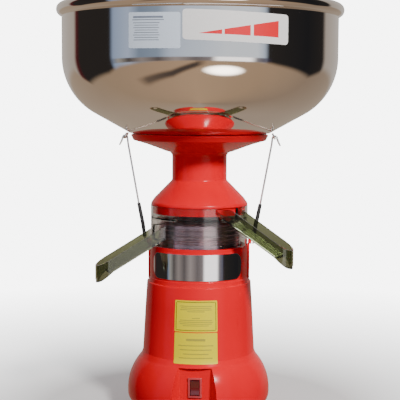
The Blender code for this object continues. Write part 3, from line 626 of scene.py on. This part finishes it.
def bowl_labels():
    def surface(z):
        return BOWL_R

    on, sl = "bowl", "steel"
    wrap("label_data", round_rect(30.6, 19.8, 2.0, 4), surface, -13.8, 475.0, 0.05, 0.12,
         PALE, on, sl, -0.6)
    rules = [(14.5, -7, 19, 1.1), (11.5, -7, 19, 0.5)] + [(8.2 - 2.7 * k, -9, 15, 0.42) for k in range(8)]
    for k, (y, cx, half, thick) in enumerate(rules):
        half = half + (k * 7 % 5) * 0.5 - 1
        wrap(f"label_data_rule_{k}", round_rect(half, thick, 0.3, 2, cx, y), surface, -13.8, 475.0,
             0.15, 0.04, PALE_RULE, on, sl, -0.6)
    wrap("label_flow", round_rect(62.6, 16.8, 4.2, 5), surface, 17.7, 479.4, 0.05, 0.12,
         LABEL_WHITE, on, sl, -1.9)
    start, end, tall = -44.3, 49.2, 18.6
    for k, (a, b) in enumerate(((start, -18.8), (-16.1, 14.0), (17.6, end))):
        top_a, top_b = [-9.3 + tall * (s - start) / (end - start) for s in (a, b)]
        outline = [(a, -9.3), (b, -9.3), (b, top_b), (a, max(top_a, -9.1))]
        wrap(f"label_flow_wedge_{k + 1}", outline, surface, 17.7, 479.4, 0.15, 0.05,
             LABEL_RED, on, sl, -1.9)


# --- bowl, stand and float ----------------------------------------------------------------------
def bowl_line(inset, steps):
    corner = (BOWL_R - 80.0, 451.2, 80.0)
    turn = 61.0
    slope = math.tan(math.radians(90 - turn))
    radius = corner[2] - inset
    first = arc(corner[0], corner[1], radius, -turn, -turn, 1)[0]
    knee = (89.0, first[1] - slope * (first[0] - 89.0))
    return [(12.6, knee[1] - 9.5), knee] + arc(corner[0], corner[1], radius, -turn, 0, steps)


def bowl():
    rim = (172.4, 510.0, 8.0)
    outside = bowl_line(0, 40) + [(BOWL_R, 501.4)] + arc(*rim, -66, 180, 28)
    inside = [(BOWL_R - BOWL_WALL, 501.0)] + bowl_line(BOWL_WALL, 30)[::-1]
    line = outside + inside
    shell = turned("bowl_shell", line, BOWL_STEEL, 160)
    put(shell, "bowl", "steel", "milk_bowl")
    floor_z = bowl_line(BOWL_WALL, 1)[0][1]
    low = bowl_line(0, 1)[0][1]
    port_top = 12.0
    outlet = [(9.0, 326.0), (10.8, 326.0), (10.8, low - 8.0), (12.2, low - 8.0), (12.2, floor_z + 0.3),
              (17.5, floor_z + 0.8), (17.5, floor_z + 2.6), (12.4, floor_z + 3.2),
              (12.4, floor_z + port_top + 2), (10.2, floor_z + port_top + 2)]
    outlet = turned("outlet_body", outlet, WHITE, SEG_FINE, True, 0.4)
    port = box("port", (-3.2, 0, floor_z + 4.2), (3.2, 22, floor_z + port_top), WHITE)
    outlet = boolean(outlet, "DIFFERENCE", moved(port, about_z(math.radians(38))))
    put(outlet, "bowl", "white_plastic", "bowl_outlet")
    nut = [(19.0 * math.cos(math.tau * i / 6), 19.0 * math.sin(math.tau * i / 6)) for i in range(6)]
    nut = prism("outlet_ring_nut", nut, low - 7.6, low - 0.7, WHITE)
    bore = [(0, low - 12), (12.5, low - 12), (12.5, low + 4), (0, low + 4)]
    bore = turned("bore", bore, WHITE, SEG_FINE, False)
    put(soften(boolean(nut, "DIFFERENCE", bore), 0.6, 3), "bowl", "white_plastic", "outlet_nut")
    return floor_z


def tap(floor_z):
    """Plug valve: hollow plug with its side port, stem, and a red pointer lever."""
    top, cap_z = 470.0, floor_z + 14.6
    line = [(0, cap_z + 3), (6.4, cap_z + 2), (6.4, 328.0), (8.6, 328.0), (9.4, floor_z + 2), (9.4, cap_z),
            (12.0, cap_z), (12.0, cap_z + 5.0), (5.0, cap_z + 9.0), (5.0, top), (0, top)]
    plug = turned("tap_plug_body", line, WHITE, SEG_FINE, False, 0.5)
    port = box("port", (-3.2, 0, floor_z + 4.2), (3.2, 22, floor_z + 12.0), WHITE)
    put(boolean(plug, "DIFFERENCE", port), "tap", "white_plastic", "tap_plug")
    hub = turned("tap_lever_arm", [(5.3, 458.0), (10.0, 458.0), (10.0, 469.0), (8.0, 469.0), (8.0, 473.0),
                                   (0, 473.0), (0, 470.3), (5.3, 470.3)], RED, SEG_FINE, True, 0.6)
    outline = [(-3.5, -8.5), (3.5, -8.5), (5.5, -120)] + arc(0, -134, 6.5, 0, -180, 14) + [(-5.5, -120)]
    arm = prism("arm", outline, top - 9.5, top - 4.5, RED)
    put(soften(boolean(hub, "UNION", arm), 0.9, 3), "tap", "red_plastic", "tap_lever")


def stand():
    line = [(FLANGE_R - 2, FLANGE_TOP), (FLANGE_R, FLANGE_TOP - 1.5), (84.2, 347.9), (67.1, 343.0),
            (41.5, 333.6)]
    line += arc(41.0, 327.4, 6.1, 110, 180, 10) + arc(NECK_R + 4.6, 299.4, 4.6, 180, 224, 6)
    line += [(57.6, 274.4)] + arc(56.2, 266.6, 5.6, 48, 0, 8)
    line += [(61.8, CREAM_TOP + 0.3), (59.4, CREAM_TOP + 0.3), (59.4, 255.5), (57.2, 255.5), (57.2, 268.6)]
    line += [(34.4, 294.4), (32.4, 298.0), (32.4, 330.0), (36.0, 330.0), (36.0, 334.2), (82.4, 351.2)]
    line += [(FLANGE_R - 4.5, FLANGE_TOP)]
    line = rounded(line, 0.7, 3)
    put(turned("stand_shell", line, RED, SEG), "float_stand", "red_plastic", "float_stand")
    cup = [(31.6, 292.0), (32.1, 329.9), (32.1, 330.3), (35.6, 330.3), (35.6, 332.0), (29.9, 332.0),
           (29.7, 295.0), (4.0, 293.6), (4.0, 276.0), (5.6, 276.0), (5.6, 291.0)]
    put(turned("float_chamber_cup", cup, WHITE, 96, True, 0.5), "float_stand", "white_plastic", "float_cup")
    body = [(0, 299), (24.0, 299), (27.0, 301.5), (27.0, 306.0), (26.5, 306.5), (27.0, 307.0), (27.0, 311.5),
            (24.0, 314.0), (9.6, 314.5), (6.8, 319.2), (0, 320.0)]
    put(turned("float_body", body, WHITE, 96, False, 0.7), "float", "white_plastic", "float")


# --- receivers ----------------------------------------------------------------------------------
def spout_outline(inset, u_start, u_tip, v_low, v_high):
    half = (v_high - v_low) / 2 - inset
    mid = (v_high + v_low) / 2
    nose = arc(u_tip - (v_high - v_low) / 2, mid, half, -90, 90, 24)
    return [(u_start, mid - half)] + nose + [(u_start, mid + half)]


def spout_solids(slope, u_ref, u_tip, v_low, floor_z, height, placed):
    def fall(x, y):
        return -slope * (x - u_ref)

    args = (u_tip, v_low, v_low + SPOUT_W)
    solid = prism("spout", spout_outline(0, 36, *args), floor_z, floor_z + height, CLEAR, lift=fall)
    channel = prism("channel", spout_outline(SPOUT_WALL, 34, *args), floor_z + SPOUT_WALL,
                    floor_z + height + 3, CLEAR, lift=fall)
    half, nose_u, mid = SPOUT_W / 2, u_tip - SPOUT_W / 2, v_low + SPOUT_W / 2
    lip = arc(nose_u, mid, half - 0.6, -90, 90, 24)
    lip = [(nose_u - 4, mid - half + 0.6)] + lip + [(nose_u - 4, mid + half - 0.6)]
    lip = prism("lip", lip, floor_z - LIP_DROP, floor_z + 1, CLEAR)
    for v in lip.data.vertices:
        if v.co.z < floor_z * MM:
            v.co.z += (LIP_DROP - 0.2) * MM * max(0.0, 1 - (v.co.x / MM - nose_u + 4) / 14)
        v.co.z += fall(v.co.x / MM, 0) * MM
    solid = boolean(solid, "UNION", lip)
    outlet = arc(nose_u - 1, mid, half - SPOUT_WALL - 0.6, -90, 90, 24)
    outlet = prism("outlet", outlet, floor_z - 9, floor_z + 6, CLEAR, lift=fall)
    return [moved(o, placed) for o in (solid, channel, outlet)]


def disc_cutter(radius, z0, z1):
    return turned("cutter", [(0, z0), (radius, z0), (radius, z1), (0, z1)], CLEAR, SEG, False)


def receiver(name, node, z0, z1, trough, spout):
    wall = turned(name, [(RING_R - RING_WALL, z0), (RING_R, z0), (RING_R, z1), (RING_R - RING_WALL, z1)],
                  CLEAR, SEG)
    solid, channel, outlet = spout
    above = box("above", (-150, -150, z1 - 0.5), (150, 150, z1 + 60), CLEAR)
    solid = boolean(solid, "DIFFERENCE", above, disc_cutter(RING_R + 0.6, z0 - 60, z0))
    reach = disc_cutter(RING_R + 0.6 + SPOUT_WALL, z0 - 60, z0 + 0.6 * SPOUT_WALL)
    channel = boolean(channel, "DIFFERENCE", reach)
    wall = boolean(wall, "UNION", solid)
    core = disc_cutter(RING_R - RING_WALL, z0 - 40, z1 + 40)
    wall = boolean(wall, "DIFFERENCE", channel, outlet, core)
    floor = turned("trough", trough, CLEAR, SEG)
    wall = boolean(wall, "UNION", floor)
    put(soften(wall, 0.35, 2, 45), node, "clear_plastic", node)


def receivers():
    seat = RING_R - RING_WALL + 0.9
    trough = [(seat, 226.2), (seat, 228.0), (57.0, 227.4), (57.0, 240.0), (55.4, 240.0), (55.4, 225.8)]
    left = about_z(math.pi + SKIM_TURN)
    spout = spout_solids(SKIM_SLOPE, 54.7, 140.2, -0.8, 225.6, 17.1, left)
    receiver("skim_ring", "skim_receiver", HOUSING_TOP + 0.3, SKIM_TOP, trough, spout)
    trough = [(seat, 249.6), (seat, 251.4), (56.0, 251.2), (33.6, 253.4), (33.0, 259.0), (31.4, 259.0),
              (31.4, 252.0), (56.0, 249.8)]
    right = about_z(-CREAM_TURN)
    spout = spout_solids(CREAM_SLOPE, 44.0, 139.5, -43.5, 258.6, 18.7, right)
    receiver("cream_ring", "cream_receiver", SKIM_TOP + 0.3, CREAM_TOP, trough, spout)


# --- drum ---------------------------------------------------------------------------------------
def drum():
    seam, r = DRUM_SEAM, DRUM_R
    base = [(0, 196.5), (6.4, 195.6), (8.9, 179.2), (14, 179.2), (20, 181), (r - 5, 183), (r, 188), (r, 198),
            (r - 0.5, 198.5), (r - 0.5, 200.5), (r, 201), (r, 218.8), (r - 0.7, 219.1), (r - 0.7, 220.0),
            (r, 220.3), (r, 222.4), (r - 0.5, 222.6), (r - 0.5, 223.2), (r, 223.4), (r, seam - 0.3),
            (r - 2.2, seam - 0.3), (r - 2.2, seam - 3), (r - 4, seam - 3), (r - 4, 190), (r - 8, 186.6),
            (14, 186.6), (11, 200), (11, 262), (10.2, 262), (10.2, 273), (7.4, 273), (7.4, 200), (0, 200)]
    put(turned("drum_bottom", base, DRUM_METAL, SEG, False, 0.4), "rotor", "aluminium", "drum_base")
    cover = [(r, seam), (r, 229.6), (r - 0.9, 230.4), (r - 0.9, 236.0), (r - 1.7, 236.8), (r - 1.7, 242.0),
             (48.0, 246.0), (31.5, 247.0), (29.5, 248.6), (26.0, 266.0), (12.0, 266.0), (12.0, 263.8),
             (22.8, 263.8), (25.4, 250.0), (25.4, 243.2), (46.8, 242.6), (48.4, 239.0), (48.8, seam)]
    put(turned("drum_lid", cover, DRUM_METAL, SEG, True, 0.35), "rotor", "aluminium", "drum_cover")


# --- latches ------------------------------------------------------------------------------------
def latch(name, side):
    px, pz = LATCH_PIVOT
    hook_r = WIRE_D + 0.45
    turn = Matrix.Identity(4) if side > 0 else about_z(math.pi)
    curl = [(px + hook_r * math.cos(a), pz + hook_r * math.sin(a))
            for a in (math.radians(180 * i / 18) for i in range(19))]
    line = [(px + 7.2, pz - 9.5), (px + 4.6, pz - 4.4)] + curl
    shank = [(91.7, 343.0), (78.2, 268.0), (72.6, 240.0), (70.2, 222.0), (69.1, 215.5)]
    path = line + shank
    piece = wire(f"latch_rod_{name}", [(x, 0, z) for x, z in path], WIRE_D, WIRE_STEEL, 16, False)
    put(moved(piece, turn), f"latch_{name}", "steel", f"latch_wire_{name}")
    ends = [(78.0, 0, 266.8), (72.6, 0, 240.0), (70.3, 0, 223.5)]
    sleeve = wire(f"latch_sleeve_{name}", ends, 5.2, RUBBER, 24, False, 0.12)
    core = wire("core", [(79.0, 0, 271.8), (72.6, 0, 240.0), (70.2, 0, 222.0), (69.4, 0, 217.5)],
                WIRE_D + 0.7, RUBBER, 16, False)
    sleeve = boolean(sleeve, "DIFFERENCE", core)
    put(moved(sleeve, turn), f"latch_{name}", "rubber", f"latch_grip_{name}")
    leg = 7.0
    staple = [(px - 3.0, -leg, 356.9), (px - 1.4, -leg, 353.4), (px - 0.3, -leg + 0.6, pz + 0.6),
              (px, -leg + 2.0, pz), (px, leg - 2.0, pz), (px - 0.3, leg - 0.6, pz + 0.6),
              (px - 1.4, leg, 353.4), (px - 3.0, leg, 356.9)]
    piece = wire(f"latch_staple_{name}", staple, WIRE_D, WIRE_STEEL, 16, True)
    put(moved(piece, turn), "bowl", "steel", f"latch_eyelet_{name}")


# --- nodes that keep their CAD shape --------------------------------------------------------------
KEPT = {
    CAST: ("motor_upper_bracket", "motor_lower_bracket"),
    IRON: ("stator_core", "armature_core"),
    COPPER: ("field_coil_front", "field_coil_rear", "armature_winding_upper", "armature_winding_lower",
             "commutator"),
    CARBON: ("brush_left", "brush_right"),
    STEEL: ("upper_bearing", "lower_bearing", "rotor_shaft", "drum_nut", "separating_disc",
            *(f"disc_{i:02d}" for i in range(1, 9))),
    BLACK: ("cooling_fan",),
    RUBBER: ("shaft_seal", "rubber_mount_1", "rubber_mount_2", "rubber_mount_3", "drum_seal"),
    WHITE: ("disc_carrier",),
}


def dress_cad_nodes():
    for mat, names in KEPT.items():
        for name in names:
            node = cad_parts[name]
            node.data.materials.clear()
            node.data.materials.append(mat)


# --- studio -----------------------------------------------------------------------------------
BACKDROP = (6.5, 6.5, 6.5)


def studio():
    """Camera at the picture's angle, pale floor, soft lights, and a plain room for reflections."""
    distance, height = 1.35, 0.3937
    side, heading, pitch, roll = [math.radians(turn) for turn in (3.5, 3.4621, 5.1847, 0.3)]
    lens = bpy.data.cameras.new("camera")
    lens.sensor_width = 36.0
    lens.lens = 95.22
    camera = bpy.data.objects.new("camera", lens)
    camera.location = (distance * math.sin(side), -distance * math.cos(side), height)
    aim = Matrix.Rotation(heading, 4, "Z")
    aim = aim @ Matrix.Rotation(math.pi / 2 - pitch, 4, "X") @ Matrix.Rotation(roll, 4, "Z")
    camera.rotation_euler = aim.to_euler()
    bpy.context.scene.collection.objects.link(camera)
    bpy.context.scene.camera = camera

    floor = Nodes("studio_floor", (0.84, 0.84, 0.84), 0.6)
    cloud = floor.noise(floor.place(), 3.0, 2.0)
    floor.link(floor.colors(cloud, [(0.3, (0.82, 0.82, 0.82)), (0.7, (0.86, 0.86, 0.86))]), "Base Color")
    coords = floor.add("ShaderNodeTexCoord").outputs["Object"]
    reach = floor.add("ShaderNodeVectorMath", {0: coords}, operation="LENGTH").outputs["Value"]
    glow = floor.add("ShaderNodeEmission", {"Color": (*BACKDROP, 1), "Strength": 1.0}).outputs[0]
    share = floor.ramp(reach, 0.20, 0.95, 0.0, 1.0)
    blend = floor.add("ShaderNodeMixShader", {0: share, 1: floor.shader.outputs[0], 2: glow}).outputs[0]
    floor.tree.links.new(blend, floor.tree.nodes["Material Output"].inputs["Surface"])
    bm = bmesh.new()
    bmesh.ops.create_circle(bm, cap_ends=True, segments=64, radius=4.0)
    ground = finish_mesh(bm, "floor", floor.mat)
    ground.visible_glossy = False
    ground.visible_diffuse = False
    ground.visible_transmission = False

    def area(name, place, target, size, power, color, size_y=None):
        lamp = bpy.data.lights.new(name, "AREA")
        lamp.shape = "RECTANGLE"
        lamp.size, lamp.size_y = size, size_y or size
        lamp.energy, lamp.color = power, color
        obj = bpy.data.objects.new(name, lamp)
        obj.location = place
        aim = Vector(target) - Vector(place)
        obj.rotation_euler = aim.to_track_quat("-Z", "Y").to_euler()
        bpy.context.scene.collection.objects.link(obj)
        return obj

    middle = (0, 0, 0.3)
    area("key", (0.95, -1.55, 1.40), middle, 0.30, 54, (1.0, 0.97, 0.94))
    area("fill", (-1.6, -1.3, 1.0), middle, 1.2, 5, (0.93, 0.96, 1.0)).visible_glossy = False
    area("back", (0.4, 1.7, 1.5), middle, 1.2, 22, (1.0, 1.0, 1.0)).visible_glossy = False
    world_light()


def world_light():
    """A plain room seen in the polished metal: pale window in front, dark sides, warm ground."""
    world = bpy.data.worlds.new("room")
    bpy.context.scene.world = world
    world.use_nodes = True
    tree = world.node_tree
    for node in list(tree.nodes):
        tree.nodes.remove(node)

    def add(kind, inputs=None, **fields):
        node = tree.nodes.new(kind)
        for key, value in fields.items():
            setattr(node, key, value)
        for socket, value in (inputs or {}).items():
            if isinstance(value, bpy.types.NodeSocket):
                tree.links.new(value, node.inputs[socket])
            else:
                node.inputs[socket].default_value = value
        return node

    def ramp(value, stops):
        """stops: (azimuth from -Y towards +X in degrees, colour), from -180 to 180."""
        made = sorted((-az / 360 if az <= 0 else 1 - az / 360, color) for az, color in stops)
        node = add("ShaderNodeValToRGB", {"Fac": value})
        while len(node.color_ramp.elements) < len(made):
            node.color_ramp.elements.new(0.5)
        for element, (position, color) in zip(node.color_ramp.elements, made):
            element.position = position
            element.color = (*color, 1.0)
        return node.outputs["Color"]

    def math_node(operation, a, b=0.0):
        return add("ShaderNodeMath", {0: a, 1: b}, operation=operation).outputs[0]

    def fade(value, low, high, to_low=0.0, to_high=1.0):
        limits = {"Value": value, "From Min": low, "From Max": high, "To Min": to_low, "To Max": to_high}
        return add("ShaderNodeMapRange", limits, interpolation_type="SMOOTHSTEP").outputs[0]

    def mix(share, a, b):
        return add("ShaderNodeMix", {0: share, 6: a, 7: b}, data_type="RGBA").outputs[2]

    way = add("ShaderNodeTexCoord").outputs["Generated"]
    xyz = add("ShaderNodeSeparateXYZ", {"Vector": way}).outputs
    turn = math_node("ARCTAN2", xyz["X"], xyz["Y"])
    turn = math_node("ADD", math_node("DIVIDE", turn, math.tau), 0.5)
    beige, dark, blue = (0.52, 0.45, 0.39), (0.030, 0.026, 0.024), (0.36, 0.46, 0.66)
    bright, behind, doorway = (0.95, 1.02, 1.12), (0.46, 0.37, 0.29), (2.4, 2.3, 2.3)
    sky = ramp(turn, [
        (-180, (0.70, 0.66, 0.62)), (-122, beige), (-117, (0.10, 0.014, 0.018)), (-112, dark), (-74, dark),
        (-70, blue), (-56, (0.50, 0.60, 0.80)), (-46, (0.24, 0.31, 0.42)), (-30, (0.30, 0.38, 0.50)),
        (-20, (0.60, 0.70, 0.88)), (-2, (0.74, 0.84, 1.0)), (2, (0.76, 0.86, 1.02)), (24, bright),
        (50, bright),
        (56, (0.60, 0.70, 0.86)), (60, dark), (100, (0.018, 0.018, 0.02)), (122, dark), (128, beige),
        (179.9, (0.70, 0.66, 0.62)),
    ])
    ground = ramp(turn, [
        (-180, behind), (-90, (0.42, 0.30, 0.20)), (-30, (0.50, 0.34, 0.22)), (-0.1, (0.56, 0.38, 0.24)),
        (0.1, (0.56, 0.38, 0.24)), (60, (0.48, 0.33, 0.21)), (110, (0.34, 0.25, 0.18)), (179.9, behind),
    ])
    horizon = ramp(turn, [(az, (v, v, v)) for az, v in (
        (-180, 0.12), (-125, 0.14), (-112, 0.42), (-80, 0.38), (-66, 0.27), (-30, 0.17), (-1, 0.15),
        (1, 0.15),
        (50, 0.16), (70, 0.24), (110, 0.34), (128, 0.14), (179.9, 0.12))])
    level = fade(math_node("ADD", xyz["Z"], horizon), -0.06, 0.06)
    # a long dark streak on the ground, and one bright patch beside it
    line = ramp(turn, [(az, (v, v, v)) for az, v in (
        (-180, 0.70), (-75, 0.70), (-52, 0.66), (-21, 0.53), (-1, 0.32), (1, 0.30), (14, 0.18),
        (179.9, 0.1))])
    span = ramp(turn, [(az, (v, v, v)) for az, v in (
        (-180, 0.0), (-60, 0.0), (-48, 0.8), (-20, 1.0), (-1, 1.0), (1, 1.0), (10, 0.0), (179.9, 0.0))])
    off = math_node("ABSOLUTE", math_node("ADD", xyz["Z"], line))
    streak = math_node("MULTIPLY", fade(off, 0.02, 0.13, 1.0, 0.0), span)
    ground = mix(math_node("MULTIPLY", streak, 0.92), ground, (0.05, 0.04, 0.04, 1))
    across = math_node("DIVIDE", math_node("SUBTRACT", turn, 1 - 24 / 360), 0.032)
    along = math_node("DIVIDE", math_node("ADD", xyz["Z"], 0.455), 0.085)
    spot = math_node("ADD", math_node("POWER", across, 2.0), math_node("POWER", along, 2.0))
    ground = mix(fade(spot, 0.0, 3.2, 1.0, 0.0), ground, (8.0, 7.2, 6.4, 1))
    # a low wall behind the viewer, with a lit doorway: the drum and the badge see it, the bowl hardly does
    wall = ramp(turn, [
        (-180, behind), (-112, dark), (-72, dark), (-66, (0.42, 0.40, 0.36)), (-56, (0.10, 0.085, 0.08)),
        (-44, (0.34, 0.29, 0.27)), (-30, (0.13, 0.11, 0.11)), (-16, (0.42, 0.36, 0.34)),
        (-1, (0.20, 0.17, 0.17)),
        (1, (0.20, 0.17, 0.17)), (12, (0.30, 0.26, 0.26)), (18, doorway), (44, doorway),
        (50, (0.30, 0.28, 0.30)), (60, (0.06, 0.05, 0.10)), (100, dark), (179.9, behind),
    ])
    room = mix(level, ground, sky)
    below = fade(xyz["Z"], -0.105, -0.080, 1.0, 0.0)
    above = fade(xyz["Z"], -0.215, -0.185, 0.0, 1.0)
    ahead = ramp(turn, [(az, (v, v, v)) for az, v in (
        (-180, 0.0), (-74, 0.0), (-66, 1.0), (-1, 1.0), (1, 1.0), (56, 1.0), (64, 0.0), (179.9, 0.0))])
    band = math_node("MULTIPLY", math_node("MULTIPLY", below, above), ahead)
    room = mix(band, room, wall)
    room = mix(fade(xyz["Z"], 0.45, 0.85), room, (0.75, 0.78, 0.82, 1))
    path = add("ShaderNodeLightPath").outputs
    soft = mix(path["Is Diffuse Ray"], room, (0.20, 0.20, 0.205, 1))
    light = add("ShaderNodeBackground", {"Color": mix(path["Is Camera Ray"], soft, (*BACKDROP, 1)),
                                         "Strength": 1.0}).outputs[0]
    out = add("ShaderNodeOutputWorld")
    tree.links.new(light, out.inputs["Surface"])


housing()
base()
switch()
gland()
badge()
yellow_labels()
tap(bowl())
bowl_labels()
stand()
receivers()
drum()
latch("right", 1)
latch("left", -1)
dress_cad_nodes()
studio()
